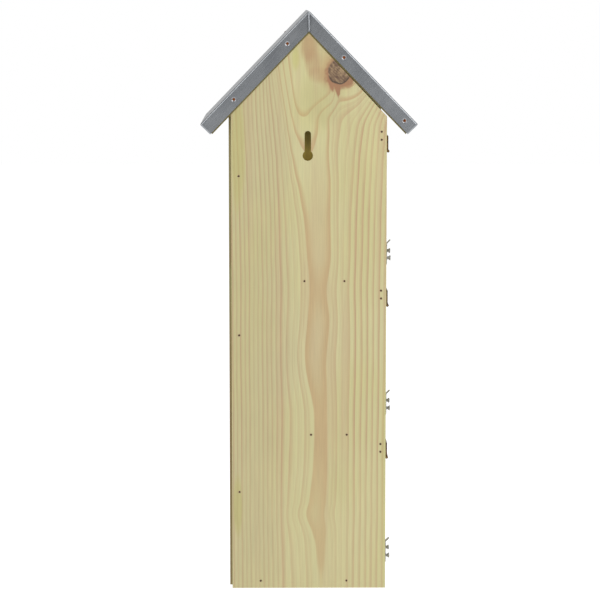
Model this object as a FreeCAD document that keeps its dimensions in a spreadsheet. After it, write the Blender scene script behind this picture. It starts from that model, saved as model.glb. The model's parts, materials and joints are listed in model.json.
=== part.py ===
"""Three-storey nest box: pine boards nailed together under a folded sheet roof.

Millimetres. +Z up, the entrance side faces -Y, the hanging side faces +Y, the flaps are on the -X side.
The origin is on the ground, under the middle of the roof.
"""

import FreeCAD
import Part
import Sketcher
import math
import os
import re

doc = FreeCAD.newDocument("NestBox")
X_AXIS = FreeCAD.Vector(1, 0, 0)
Y_AXIS = FreeCAD.Vector(0, 1, 0)

# Driving dimensions: name, size, meaning
SIZES = [
    ("ridge_height", 586.6, "ground to the sharp line of the ridge"),
    ("roof_span", 218.2, "eave to eave, outside the sheet, before its folds are rounded"),
    ("roof_depth", 190, "front lip to rear lip, outside the sheet"),
    ("roof_pitch", 46, "slope of the roof, degrees"),
    ("sheet_thickness", 0.6, "roof sheet"),
    ("sheet_bend", 1.5, "outer radius of the sheet's folds"),
    ("sheet_play", 0.2, "room between a fold's inner radius and the roof boards"),
    ("lip_height", 14.2, "folded lip, square to the slope"),
    ("board_thickness", 15, "planed pine boards"),
    ("back_board_width", 156, "front and back boards"),
    ("shoulder_drop", 1.6, "how far the back board's shoulder on the flap side falls short of the roof"),
    ("inner_depth", 125, "between the front and back boards"),
    ("side_panel_proud", 2.6, "side panel past the edge of the back board"),
    ("flap_foot", 1.5, "ground to the lower edge of the lowest flap"),
    ("eave_allowance", 10.87, "left over under the roof at the boards' edge once the storeys are shared out"),
    ("strip_height", 28, "one flap's upper edge to the next one's lower edge"),
    ("flap_set_back", 0.3, "flap face behind the edge of the back board"),
    ("flap_end_gap", 1.5, "flap end to board"),
    ("rail_gap", 0.8, "rail to the flap above it"),
    ("rail_proud", 0.6, "rail face past the edge of the back board"),
    ("hinge_gap", 2.4, "flap to the rail above it"),
    ("upper_rail_height", 31, "rail under the eave, which leaves an air slot above"),
    ("floor_end_gap", 0.5, "floor end to the flap's inner face"),
    ("floor_lift", 0.5, "upper floors' middle above the flap's lower edge"),
    ("entrance_radius", 16, "entrance holes"),
    ("entrance_height", 90, "entrance centre above its floor"),
    ("keyhole_radius", 5.2, "round of the keyhole, lets a screw head in"),
    ("keyhole_channel_radius", 5.5, "channel behind the lip, cleared a little wider than the round"),
    ("keyhole_slot_radius", 3.2, "slot of the keyhole, holds the screw's neck"),
    ("keyhole_height", 442.5, "ground to the middle of the round"),
    ("keyhole_travel", 21.5, "round to the upper end of the slot"),
    ("keyhole_lip", 4, "wood left in front of a hung screw head"),
    ("keyhole_depth", 10, "whole depth of the keyhole"),
    ("keyhole_offset", 1.2, "keyhole beside the middle of the board"),
    ("hinge_length", 24, "hinge along its pin"),
    ("hinge_inset", 3, "flap end to hinge end"),
    ("knuckle_radius", 1.4, "hinge barrel"),
    ("knuckle_stand_off", 0.1, "barrel to the rail's face"),
    ("knuckle_gap", 0.2, "between neighbouring knuckles"),
    ("knuckle_relief", 0.3, "room round a knuckle in the other leaf"),
    ("pin_radius", 0.7, "hinge pin"),
    ("pin_clearance", 0.06, "pin in its knuckles"),
    ("leaf_thickness", 0.9, "hinge leaves"),
    ("rail_leaf_height", 15.5, "pin to the upper edge of the leaf on the rail"),
    ("flap_leaf_reach", 13, "pin to the inner edge of the leaf on the flap"),
    ("leaf_nail_near", 6, "pin to the nearer nail of a leaf"),
    ("rail_leaf_nail_far", 12.5, "pin to the further nail of a rail leaf"),
    ("flap_leaf_nail_far", 10, "pin to the further nail of a flap leaf"),
    ("leaf_nail_spread", 7, "leaf nails beside the middle of the hinge"),
    ("leaf_nail_radius", 0.7, "shank of a leaf nail"),
    ("leaf_nail_head", 1.5, "head radius of a leaf nail"),
    ("leaf_nail_cap", 0.7, "head height of a leaf nail"),
    ("leaf_nail_length", 4.5, "shank of a leaf nail below the leaf"),
    ("nail_radius", 0.9, "shank of a board nail"),
    ("nail_head", 1.3, "head radius of a board nail"),
    ("nail_cap", 0.9, "head height of a board nail, driven flush"),
    ("nail_length", 36, "board nail, head to tip"),
    ("side_nail_low", 100, "lowest side panel nail"),
    ("side_nail_step", 4, "side panel nails, wider apart than the storeys"),
    ("side_nail_inset", 10.1, "side panel nails to the panel's outer face"),
    ("floor_nail_reach", 38.4, "nail near the flap in the two lower floors, from the middle"),
    ("upper_nail_reach", 35.7, "the same nail in the upper floor"),
    ("bottom_nail_panel", 49.1, "the bottom floor's other nail, from the middle"),
    ("middle_nail_shift", 2.2, "the middle floor's other nail, from the middle towards the flap"),
    ("upper_nail_shift", 4.5, "the upper floor's other nail, from the middle towards the panel"),
    ("rail_nail_spread", 8, "between the two nails of one rail"),
    ("rail_nail_inset", 5.3, "rail nails to the edge of the back board"),
    ("roof_nail_radius", 0.9, "shank of a roof nail"),
    ("roof_nail_head", 1.4, "head radius of a roof nail"),
    ("roof_nail_cap", 0.5, "head height of a roof nail, on the sheet"),
    ("lip_nail_length", 24, "nail through a lip, below the sheet"),
    ("top_nail_length", 13, "nail through the roof's top, below the sheet"),
    ("top_nail_inset", 12, "top nail to the front lip"),
    ("top_nail_down", 33, "ridge to the nail in the roof's top"),
    ("panel_lip_nail_high", 38.4, "ridge to the upper lip nail over the side panel"),
    ("panel_lip_nail_low", 41.7, "eave to the lower lip nail over the side panel"),
    ("flap_lip_nail_high", 57.5, "ridge to the upper lip nail over the flaps"),
    ("flap_lip_nail_low", 12.3, "eave to the lower lip nail over the flaps"),
    ("screw_radius", 1.5, "hook and catch screws"),
    ("screw_head", 2.8, "screw head radius"),
    ("screw_cone", 1.8, "cone under a screw head"),
    ("screw_rim", 0.8, "rim of a screw head"),
    ("screw_neck", 1.4, "bare shank between a hook and the screw head"),
    ("screw_bite", 11, "screw in the wood"),
    ("hook_thickness", 1, "swing hook's plate"),
    ("hook_half_width", 3.5, "half the width of a hook's arm"),
    ("hook_tail", 6.8, "pivot to the hook's lower end"),
    ("hook_tip", 15.5, "pivot to the hook's tip"),
    ("hook_clearance", 0.1, "hook on its pivot screw"),
    ("notch_clearance", 0.3, "catch screw in the hook's notch"),
    ("tab_fold", 1, "fold of the finger tab below the hook's tip"),
    ("tab_reach", 3.6, "finger tab out from the plate, and as far up"),
    ("tab_half_width", 2.3, "half the width of the finger tab"),
    ("pivot_inset", 4, "hook pivot to the back board's inner face"),
    ("lower_pivot_rise", 29.9, "lower hook's pivot above its flap's lower edge"),
    ("middle_pivot_rise", 26.1, "middle hook's pivot above its flap's lower edge"),
    ("upper_pivot_rise", 22.9, "upper hook's pivot above its flap's lower edge"),
    ("catch_inset", 3.6, "catch screw to the flap's end"),
    ("catch_rise", 6.4, "catch screw above the hook's pivot"),
]
NAMES = {name for name, _, _ in SIZES}

sheet = doc.addObject("Spreadsheet::Sheet", "Sizes")
for row, (name, size, meaning) in enumerate(SIZES, start=1):
    sheet.set(f"A{row}", meaning)
    sheet.set(f"B{row}", str(size))
    sheet.setAlias(f"B{row}", name)
doc.recompute()


def formula(text):
    """A formula of size names, as the document writes it."""
    return re.sub(r"[a-z_]+", lambda word: "Sizes." + word[0] if word[0] in NAMES else word[0], str(text))


def value(text):
    """The present number of a formula."""
    return float(sheet.evalExpression(formula(text)))


def bind(item, **sizes):
    """Tie properties of a document object to formulas."""
    for name, text in sizes.items():
        item.setExpression(name, formula(text))
    return item


def at(item, x=0, y=0, z=0, rotation=None):
    """Place an object at three formulas, after an optional turn."""
    if rotation:
        item.Placement = FreeCAD.Placement(FreeCAD.Vector(), rotation)
    for axis, text in (("x", x), ("y", y), ("z", z)):
        item.setExpression("Placement.Base." + axis, formula(text))
    return item


# Places that several pieces share
HALF_WIDTH = "back_board_width / 2"
SHEET_ROOM = "(sheet_bend + sheet_play)"
REAR = f"(roof_depth / 2 - {SHEET_ROOM})"
INNER_REAR = f"({REAR} - board_thickness)"
INNER_FRONT = f"({INNER_REAR} - inner_depth)"
FRONT = f"({INNER_FRONT} - board_thickness)"
GABLE = "(ridge_height - (board_thickness + sheet_thickness) / cos(roof_pitch))"
PANEL_FACE = f"({HALF_WIDTH} + side_panel_proud)"
PANEL_INNER = f"({PANEL_FACE} - board_thickness)"
FLAP_FACE = f"({HALF_WIDTH} - flap_set_back)"
FLAP_INNER = f"({FLAP_FACE} - board_thickness)"
FLAP_REAR = f"({INNER_REAR} - flap_end_gap)"
FLAP_LENGTH = "(inner_depth - 2 * flap_end_gap)"
RAIL_FACE = f"({HALF_WIDTH} + rail_proud)"
PIN_X = f"({RAIL_FACE} + knuckle_stand_off + knuckle_radius)"
PIVOT_Y = f"({INNER_REAR} + pivot_inset)"
CATCH_Y = f"({FLAP_REAR} - catch_inset)"
CATCH_ARM = f"sqrt(({PIVOT_Y} - {CATCH_Y}) ^ 2 + catch_rise ^ 2)"
STOREYS = ("lower", "middle", "upper")
EAVE = f"({GABLE} - {HALF_WIDTH} * tan(roof_pitch))"
STOREY_PITCH = f"(({EAVE} - flap_foot - eave_allowance) / {len(STOREYS)})"
FLAP_HEIGHT = f"({STOREY_PITCH} - strip_height)"
TOWARDS_X = FreeCAD.Rotation(Y_AXIS, 90)
TOWARDS_Y = FreeCAD.Rotation(X_AXIS, -90)
TOWARDS_MINUS_Y = FreeCAD.Rotation(X_AXIS, 90)
DOWN = FreeCAD.Rotation(X_AXIS, 180)


def flap_low(storey):
    """Height of a flap's lower edge."""
    return f"(flap_foot + {storey} * {STOREY_PITCH})"


def pin_height(storey):
    """Height of a storey's hinge pin, in the middle of the gap over its flap."""
    return f"({flap_low(storey)} + {FLAP_HEIGHT} + hinge_gap / 2)"


def rail_low(storey):
    """Height of the lower edge of the rail over a flap."""
    return f"({flap_low(storey)} + {FLAP_HEIGHT} + hinge_gap)"


def rail_height(storey):
    """A rail fills the space up to the next flap; the one under the eave has its own height."""
    if storey == len(STOREYS) - 1:
        return "upper_rail_height"
    return "(strip_height - hinge_gap - rail_gap)"


def floor_low(storey):
    """Underside of a floor: the bottom one stands on the ground."""
    if storey == 0:
        return "0"
    return f"({flap_low(storey)} + floor_lift - board_thickness / 2)"


def under_roof(x):
    """Height of the roof boards' underside at a distance from the middle."""
    return f"({GABLE} - {x} * tan(roof_pitch))"


def new_body(label):
    """An empty body."""
    body = doc.addObject("PartDesign::Body", label)
    body.Label = label
    return body


def plane(body, role):
    """One of a body's own origin planes."""
    return next(item for item in body.Origin.OriginFeatures if item.Role == role)


def new_sketch(body, name, role):
    """An empty sketch on one of the body's origin planes."""
    sketch = body.newObject("Sketcher::SketchObject", name)
    sketch.AttachmentSupport = [(plane(body, role), "")]
    sketch.MapMode = "FlatFace"
    return sketch


def tie_point(sketch, geometry, end, name, x, y):
    """Fix one point of a sketch at two formulas from the sketch's origin."""
    for kind, axis, text in (("DistanceX", "x", x), ("DistanceY", "y", y)):
        index = sketch.addConstraint(Sketcher.Constraint(kind, -1, 1, geometry, end, value(text)))
        sketch.renameConstraint(index, name + axis)
        sketch.setExpression(f"Constraints.{name}{axis}", formula(text))


def draw_outline(sketch, points):
    """A closed outline of straight lines through points given as formulas."""
    corners = [FreeCAD.Vector(value(x), value(y), 0) for x, y in points]
    lines = [
        sketch.addGeometry(Part.LineSegment(start, end))
        for start, end in zip(corners, corners[1:] + corners[:1])
    ]
    for line, following in zip(lines, lines[1:] + lines[:1]):
        sketch.addConstraint(Sketcher.Constraint("Coincident", line, 2, following, 1))
    for number, (line, (x, y)) in enumerate(zip(lines, points)):
        tie_point(sketch, line, 1, f"point{number}", x, y)


def draw_circle(sketch, name, x, y, radius):
    """A circle with its middle and radius given as formulas."""
    middle = FreeCAD.Vector(value(x), value(y), 0)
    circle = sketch.addGeometry(Part.Circle(middle, FreeCAD.Vector(0, 0, 1), value(radius)))
    tie_point(sketch, circle, 3, name, x, y)
    index = sketch.addConstraint(Sketcher.Constraint("Radius", circle, value(radius)))
    sketch.renameConstraint(index, name + "r")
    sketch.setExpression(f"Constraints.{name}r", formula(radius))


def draw_slot(sketch, x, low, high, radius):
    """An upright slot with round ends: two arcs and the two sides that touch them."""
    middles = [FreeCAD.Vector(value(x), value(z), 0) for z in (low, high)]
    size = value(radius)
    up = FreeCAD.Vector(0, 0, 1)
    reach = FreeCAD.Vector(size, 0, 0)
    bottom = sketch.addGeometry(Part.ArcOfCircle(Part.Circle(middles[0], up, size), -math.pi, 0))
    top = sketch.addGeometry(Part.ArcOfCircle(Part.Circle(middles[1], up, size), 0, math.pi))
    right = sketch.addGeometry(Part.LineSegment(middles[0] + reach, middles[1] + reach))
    left = sketch.addGeometry(Part.LineSegment(middles[1] - reach, middles[0] - reach))
    for first, first_end, second, second_end in (
        (bottom, 2, right, 1), (right, 2, top, 1), (top, 2, left, 1), (left, 2, bottom, 1),
    ):
        sketch.addConstraint(Sketcher.Constraint("Tangent", first, first_end, second, second_end))
    tie_point(sketch, bottom, 3, "low", x, low)
    tie_point(sketch, top, 3, "high", x, high)
    index = sketch.addConstraint(Sketcher.Constraint("Radius", bottom, size))
    sketch.renameConstraint(index, "end")
    sketch.setExpression("Constraints.end", formula(radius))


def pad(body, sketch, length, middle=False):
    """Thicken a sketch along its normal, or evenly to both sides."""
    feature = body.newObject("PartDesign::Pad", sketch.Name + "Pad")
    feature.Profile = sketch
    if middle:
        feature.SideType = "Symmetric"
    sketch.Visibility = False
    return bind(feature, Length=length)


def pocket(body, sketch, depth):
    """Cut a sketch into the body along its normal; the solid has to lose volume."""
    doc.recompute()
    before = body.Shape.Volume
    feature = body.newObject("PartDesign::Pocket", sketch.Name + "Pocket")
    feature.Profile = sketch
    feature.Reversed = True
    bind(feature, Length=depth)
    doc.recompute()
    if body.Shape.Volume >= before:
        raise ValueError(f"{sketch.Name} cuts nothing")
    return feature


def box(label, x, y, z, length, width, height):
    """A straight board between named places."""
    board = doc.addObject("Part::Box", label)
    board.Label = label
    bind(board, Length=length, Width=width, Height=height)
    return at(board, x, y, z)


def cylinder(name, radius, height):
    """A plain cylinder along its own Z."""
    return bind(doc.addObject("Part::Cylinder", name), Radius=radius, Height=height)


def fuse(label, items):
    """One solid from several."""
    whole = doc.addObject("Part::MultiFuse", label)
    whole.Label = label
    whole.Shapes = items
    whole.Refine = True
    return whole


def group(label, items):
    """Separate solids under one name."""
    whole = doc.addObject("Part::Compound", label)
    whole.Label = label
    whole.Links = items
    return whole


def cut(label, blank, tools):
    """A blank with tools taken out of it."""
    whole = doc.addObject("Part::Cut", label)
    whole.Label = label
    whole.Base = blank
    whole.Tool = tools[0] if len(tools) == 1 else group(label + "_tools", tools)
    return whole


def fastener(name, head, cap, shank, length, x, y, z, rotation):
    """A flat-headed nail: the head's underside is at the given place, the shank runs on from it."""
    nail = fuse(name, [
        at(cylinder(name + "_head", head, cap), z=f"-({cap})"),
        cylinder(name + "_shank", shank, length),
    ])
    return at(nail, x, y, z, rotation)


def board_nail(name, x, y, z, rotation):
    """A nail through a board's face, its head flush with the wood."""
    sign = "-" if rotation is TOWARDS_MINUS_Y else "+"
    return fastener(
        name, "nail_head", "nail_cap", "nail_radius", "nail_length - nail_cap",
        x, f"{y} {sign} nail_cap", z, rotation,
    )


def nail_pair(name, x, z):
    """The same nail through the back board and through the front board."""
    return [
        board_nail(name + "_rear", x, REAR, z, TOWARDS_MINUS_Y),
        board_nail(name + "_front", x, FRONT, z, TOWARDS_Y),
    ]


# Nails that hold the boards together; each floor has one near the flap and one further in
FLOOR_NAILS = {
    "lower": ("-floor_nail_reach", "bottom_nail_panel"),
    "middle": ("-floor_nail_reach", "-middle_nail_shift"),
    "upper": ("-upper_nail_reach", "upper_nail_shift"),
}
side_nails = []
for step in range(3):
    height = f"side_nail_low + {step} * ({STOREY_PITCH} + side_nail_step)"
    side_nails += nail_pair(f"side_nail_{step}", f"{PANEL_FACE} - side_nail_inset", height)
floor_nails = []
rail_nails = []
for storey, word in enumerate(STOREYS):
    for number, x in enumerate(FLOOR_NAILS[word]):
        height = f"{floor_low(storey)} + board_thickness / 2"
        floor_nails += nail_pair(f"{word}_floor_nail_{number}", x, height)
    for end, sign in (("low", "-"), ("high", "+")):
        rail_nails += nail_pair(
            f"{word}_rail_nail_{end}",
            f"-{HALF_WIDTH} + rail_nail_inset",
            f"{rail_low(storey)} + {rail_height(storey)} / 2 {sign} rail_nail_spread / 2",
        )
side_panel_nails = group("side_panel_nails", side_nails)
floor_nails = group("floor_nails", floor_nails)
rail_nails = group("rail_nails", rail_nails)


def gable_board(label, shoulder_drop):
    """A board with a gable top, its rear face on the body's own XZ plane."""
    body = new_body(label)
    outline = new_sketch(body, label + "_outline", "XZ_Plane")
    draw_outline(outline, [
        (f"-{HALF_WIDTH}", "0"),
        (HALF_WIDTH, "0"),
        (HALF_WIDTH, under_roof(HALF_WIDTH)),
        ("0", GABLE),
        (f"-{HALF_WIDTH}", f"{under_roof(HALF_WIDTH)} - {shoulder_drop}"),
    ])
    pad(body, outline, "board_thickness")
    return body


def cut_keyhole(body):
    """A round mouth and a narrow slot over it, with a wider channel behind the slot's lip."""
    top = "keyhole_height + keyhole_travel"
    mouth = new_sketch(body, "keyhole_mouth", "XZ_Plane")
    draw_circle(mouth, "mouth", "keyhole_offset", "keyhole_height", "keyhole_radius")
    pocket(body, mouth, "keyhole_lip")
    slot = new_sketch(body, "keyhole_slot", "XZ_Plane")
    draw_slot(slot, "keyhole_offset", "keyhole_height", top, "keyhole_slot_radius")
    pocket(body, slot, "keyhole_lip")
    channel = new_sketch(body, "keyhole_channel", "XZ_Plane")
    channel.setExpression("AttachmentOffset.Base.z", formula("keyhole_lip"))
    draw_slot(channel, "keyhole_offset", "keyhole_height", top, "keyhole_channel_radius")
    pocket(body, channel, "keyhole_depth - keyhole_lip")


# Front and back boards
back_blank = at(gable_board("back_board_blank", "shoulder_drop"), y=REAR)
cut_keyhole(back_blank)
front_blank = at(gable_board("front_board_blank", "0"), y=INNER_FRONT)
for storey, word in enumerate(STOREYS):
    entrance = new_sketch(front_blank, word + "_entrance", "XZ_Plane")
    draw_circle(
        entrance, "hole", "0", f"{floor_low(storey)} + board_thickness + entrance_height", "entrance_radius"
    )
    pocket(front_blank, entrance, "board_thickness")

# Side panel, bevelled to the roof, and the floors
panel_blank = new_body("side_panel_blank")
panel_outline = new_sketch(panel_blank, "side_panel_outline", "XZ_Plane")
draw_outline(panel_outline, [
    (PANEL_INNER, "0"),
    (PANEL_FACE, "0"),
    (PANEL_FACE, under_roof(PANEL_FACE)),
    (PANEL_INNER, under_roof(PANEL_INNER)),
])
pad(panel_blank, panel_outline, "inner_depth")
at(panel_blank, y=INNER_REAR)
side_panel = cut("side_panel", panel_blank, [side_panel_nails])
FLOOR_NAMES = {"lower": "bottom_floor", "middle": "middle_floor", "upper": "upper_floor"}
FLOOR_START = f"-({FLAP_INNER} - floor_end_gap)"
floors = []
for storey, word in enumerate(STOREYS):
    blank = box(
        FLOOR_NAMES[word] + "_blank", FLOOR_START, INNER_FRONT, floor_low(storey),
        f"{PANEL_INNER} - ({FLOOR_START})", "inner_depth", "board_thickness",
    )
    floors.append(cut(FLOOR_NAMES[word], blank, [floor_nails]))


# Hinges: the leaf on the rail has the outer and middle knuckles, the leaf on the flap the two between
KNUCKLES = 5
KNUCKLE_PITCH = f"(hinge_length / {KNUCKLES})"
HINGE_ENDS = {
    "rear": f"({FLAP_REAR} - hinge_inset - hinge_length)",
    "front": f"({FLAP_REAR} - {FLAP_LENGTH} + hinge_inset)",
}


def along_pin(name, radius, start, length, height):
    """A cylinder on a hinge's axis."""
    return at(cylinder(name, radius, length), f"-{PIN_X}", start, height, TOWARDS_Y)


def hinge_leaf(label, plate, numbers, start, height, nails):
    """A plate with some of the knuckles, relieved round the others, bored for the pin and its nails."""
    solids = [plate]
    tools = list(nails)
    for number in range(KNUCKLES):
        low = f"{start} + {number} * {KNUCKLE_PITCH}"
        if number in numbers:
            solids.append(along_pin(
                f"{label}_knuckle_{number}", "knuckle_radius", f"{low} + knuckle_gap / 2",
                f"{KNUCKLE_PITCH} - knuckle_gap", height,
            ))
        else:
            tools.append(along_pin(
                f"{label}_relief_{number}", "knuckle_radius + knuckle_relief", f"{low} - knuckle_gap / 2",
                f"{KNUCKLE_PITCH} + knuckle_gap", height,
            ))
    tools.append(along_pin(
        label + "_bore", "pin_radius + pin_clearance", f"{start} - knuckle_gap",
        "hinge_length + 2 * knuckle_gap", height,
    ))
    return cut(label, fuse(label + "_blank", solids), tools)


def leaf_nail(name, x, y, z, rotation):
    """A small nail whose head lies on a hinge leaf."""
    return fastener(
        name, "leaf_nail_head", "leaf_nail_cap", "leaf_nail_radius", "leaf_thickness + leaf_nail_length",
        x, y, z, rotation,
    )


rail_leaf_nails = []
flap_leaf_nails = {word: [] for word in STOREYS}
pieces = [side_panel, side_panel_nails, floor_nails, rail_nails] + floors
for storey, word in enumerate(STOREYS):
    for end, start in HINGE_ENDS.items():
        name = f"{word}_{end}_hinge"
        height = pin_height(storey)
        middle = f"{start} + hinge_length / 2"
        flap_top = f"({flap_low(storey)} + {FLAP_HEIGHT})"
        on_rail = []
        on_flap = []
        for rail_reach, flap_reach, sign in (
            ("leaf_nail_near", "leaf_nail_near", "-"),
            ("rail_leaf_nail_far", "flap_leaf_nail_far", "+"),
        ):
            place = f"{middle} {sign} leaf_nail_spread"
            on_rail.append(leaf_nail(
                f"{name}_{rail_reach}_rail", f"-{RAIL_FACE} - leaf_thickness", place,
                f"{height} + {rail_reach}", TOWARDS_X,
            ))
            on_flap.append(leaf_nail(
                f"{name}_{flap_reach}_flap", f"-{PIN_X} + {flap_reach}", place,
                f"{flap_top} + leaf_thickness", DOWN,
            ))
        rail_plate = box(
            name + "_rail_plate", f"-{RAIL_FACE} - leaf_thickness", start, height,
            "leaf_thickness", "hinge_length", "rail_leaf_height",
        )
        flap_plate = box(
            name + "_flap_plate", f"-{PIN_X}", start, flap_top,
            "flap_leaf_reach", "hinge_length", "leaf_thickness",
        )
        pieces += [
            hinge_leaf(name + "_rail_leaf", rail_plate, (0, 2, 4), start, height, on_rail),
            hinge_leaf(name + "_flap_leaf", flap_plate, (1, 3), start, height, on_flap),
            along_pin(name + "_pin", "pin_radius", start, "hinge_length", height),
        ]
        rail_leaf_nails += on_rail
        flap_leaf_nails[word] += on_flap
rail_leaf_nails = group("hinge_rail_nails", rail_leaf_nails)
pieces.append(rail_leaf_nails)


def screw(label, y, z):
    """A screw that stands proud of the hook's plate, driven from the -X side."""
    rim = cylinder(label + "_rim", "screw_head", "screw_rim")
    cone = bind(
        doc.addObject("Part::Cone", label + "_cone"),
        Radius1="screw_head", Radius2="screw_radius", Height="screw_cone",
    )
    shank = cylinder(label + "_shank", "screw_radius", "screw_neck + hook_thickness + screw_bite")
    at(rim, z="-(screw_neck + screw_cone + screw_rim)")
    at(cone, z="-(screw_neck + screw_cone)")
    at(shank, z="-screw_neck")
    return at(fuse(label, [rim, cone, shank]), f"-{HALF_WIDTH} - hook_thickness", y, z, TOWARDS_X)


def swing_hook(label, height):
    """An upright hook: round ends, a notch in its front edge, a finger tab folded out at its tip."""
    body = new_body(label)
    arm = new_sketch(body, label + "_arm", "YZ_Plane")
    draw_slot(arm, "0", "hook_half_width - hook_tail", "hook_tip - hook_half_width", "hook_half_width")
    pad(body, arm, "hook_thickness")
    fold = "(hook_tip - tab_fold)"
    slant = "hook_thickness * sqrt(0.5)"
    tab = new_sketch(body, label + "_tab", "XZ_Plane")
    draw_outline(tab, [
        ("0", fold),
        ("-tab_reach", f"{fold} + tab_reach"),
        (f"{slant} - tab_reach", f"{fold} + tab_reach + {slant}"),
        ("hook_thickness", f"{fold} + 2 * {slant} - hook_thickness"),
        ("hook_thickness", fold),
    ])
    pad(body, tab, "2 * tab_half_width", middle=True)
    pivot = new_sketch(body, label + "_pivot", "YZ_Plane")
    draw_circle(pivot, "hole", "0", "0", "screw_radius + hook_clearance")
    pocket(body, pivot, "hook_thickness")
    seat = new_sketch(body, label + "_seat", "YZ_Plane")
    draw_circle(seat, "hole", "0", CATCH_ARM, "screw_radius + notch_clearance")
    pocket(body, seat, "hook_thickness")
    mouth = "(2 * hook_half_width)"
    drop = f"({CATCH_ARM} - sqrt({CATCH_ARM} ^ 2 - hook_half_width ^ 2)) * 2"
    width = "(screw_radius + notch_clearance)"
    notch = new_sketch(body, label + "_notch", "YZ_Plane")
    draw_outline(notch, [
        ("0", f"{CATCH_ARM} + {width}"),
        (f"-{mouth}", f"{CATCH_ARM} + {width} - {drop}"),
        (f"-{mouth}", f"{CATCH_ARM} - {width} - {drop}"),
        ("0", f"{CATCH_ARM} - {width}"),
    ])
    pocket(body, notch, "hook_thickness")
    return at(body, f"-{HALF_WIDTH} - hook_thickness", PIVOT_Y, height)


# Rails, flaps and hooks of each storey
pivot_screws = []
for storey, word in enumerate(STOREYS):
    rail = box(
        word + "_rail_blank", f"-{RAIL_FACE}", INNER_FRONT, rail_low(storey),
        "board_thickness", "inner_depth", rail_height(storey),
    )
    flap = box(
        word + "_flap_blank", f"-{FLAP_FACE}", f"{FLAP_REAR} - {FLAP_LENGTH}", flap_low(storey),
        "board_thickness", FLAP_LENGTH, FLAP_HEIGHT,
    )
    pivot_height = f"{flap_low(storey)} + {word}_pivot_rise"
    catch = screw(word + "_catch_screw", CATCH_Y, f"{pivot_height} + catch_rise")
    nails = group(word + "_flap_nails", flap_leaf_nails[word])
    pivot_screws.append(screw(word + "_pivot_screw", PIVOT_Y, pivot_height))
    pieces += [
        cut(word + "_rail", rail, [rail_nails, rail_leaf_nails]),
        cut(word + "_flap", flap, [nails, catch]),
        nails,
        catch,
        swing_hook(word + "_hook", pivot_height),
    ]
pivot_screws = group("hook_pivot_screws", pivot_screws)
pieces += [
    pivot_screws,
    cut("back_board", back_blank, [side_panel_nails, floor_nails, rail_nails, pivot_screws]),
    cut("front_board", front_blank, [side_panel_nails, floor_nails, rail_nails]),
]


# Roof: places on it are a distance down the slope from the ridge and a depth square to the slope
SLOPE_LENGTH = "(roof_span / 2 / cos(roof_pitch))"


def on_slope(side, down, depth):
    """X and Z of a place on the roof; side is "" for +X or "-" for -X."""
    x = f"{side}({down} * cos(roof_pitch) - {depth} * sin(roof_pitch))"
    z = f"ridge_height - {down} * sin(roof_pitch) - {depth} * cos(roof_pitch)"
    return x, z


def under_ridge(depth):
    """The place on the middle line at a depth square to both slopes."""
    return "0", f"ridge_height - {depth} / cos(roof_pitch)"


def is_underside(face):
    """True for the two faces between the lips, which look down and towards the middle."""
    normal = face.normalAt(0, 0)
    return normal.z < 0 and normal.x * face.CenterOfMass.x < 0


def ridged_block(label, inset, depth, radius):
    """A ridged block under the roof's outer faces, its upper and upright edges rounded."""
    body = new_body(label)
    outline = new_sketch(body, label + "_outline", "XZ_Plane")
    eave = f"({SLOPE_LENGTH} - {inset})"
    draw_outline(outline, [
        under_ridge(inset),
        on_slope("", eave, inset),
        on_slope("", eave, depth),
        under_ridge(depth),
        on_slope("-", eave, depth),
        on_slope("-", eave, inset),
    ])
    block = pad(body, outline, f"roof_depth - 2 * {inset}", middle=True)
    doc.recompute()
    open_edges = [edge for face in block.Shape.Faces if is_underside(face) for edge in face.Edges]
    folds = [
        f"Edge{number}"
        for number, edge in enumerate(block.Shape.Edges, start=1)
        if not any(edge.isSame(other) for other in open_edges)
    ]
    rounding = bind(body.newObject("PartDesign::Fillet", label + "_folds"), Radius=radius)
    rounding.Base = (block, folds)
    return body


def roof_board(label, side):
    """A board under one slope: mitred and planed flat at the ridge, square at the eave."""
    body = new_body(label + "_blank")
    outline = new_sketch(body, label + "_outline", "XZ_Plane")
    eave = f"({SLOPE_LENGTH} - {SHEET_ROOM})"
    whole = "(sheet_thickness + board_thickness)"
    middle, ridge = under_ridge("sheet_thickness")
    planed = f"{ridge} - sheet_bend * tan(roof_pitch)"
    draw_outline(outline, [
        (middle, planed),
        (f"{side}sheet_bend", planed),
        on_slope(side, eave, "sheet_thickness"),
        on_slope(side, eave, whole),
        under_ridge(whole),
    ])
    pad(body, outline, f"roof_depth - 2 * {SHEET_ROOM}", middle=True)
    return body


def roof_nail(name, length, x, y, z, rotation):
    """A nail whose head lies on the roof sheet."""
    return fastener(
        name, "roof_nail_head", "roof_nail_cap", "roof_nail_radius", f"sheet_thickness + {length}",
        x, y, z, rotation,
    )


roof_nails = []
for side, sign, word in (("", "+", "panel"), ("-", "-", "flap")):
    for step, down in (
        ("high", f"{word}_lip_nail_high"),
        ("low", f"({SLOPE_LENGTH} - {word}_lip_nail_low)"),
    ):
        x, z = on_slope(side, down, "lip_height / 2")
        for end, y, rotation in (
            ("rear", "roof_depth / 2", TOWARDS_MINUS_Y),
            ("front", "-roof_depth / 2", TOWARDS_Y),
        ):
            name = f"{word}_{end}_lip_nail_{step}"
            roof_nails.append(roof_nail(name, "lip_nail_length", x, y, z, rotation))
    x, z = on_slope(side, "top_nail_down", "0")
    top_nail = roof_nail(
        f"{word}_top_nail", "top_nail_length", x, "top_nail_inset - roof_depth / 2", z,
        FreeCAD.Rotation(Y_AXIS, 180),
    )
    roof_nails.append(bind(top_nail, **{"Placement.Rotation.Angle": f"180 {sign} roof_pitch"}))
roof_nails = group("roof_nails", roof_nails)
sheet_outside = ridged_block("sheet_outside", "0", "lip_height", "sheet_bend")
sheet_inside = ridged_block(
    "sheet_inside", "sheet_thickness", "(lip_height + sheet_bend)", "sheet_bend - sheet_thickness"
)
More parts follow.
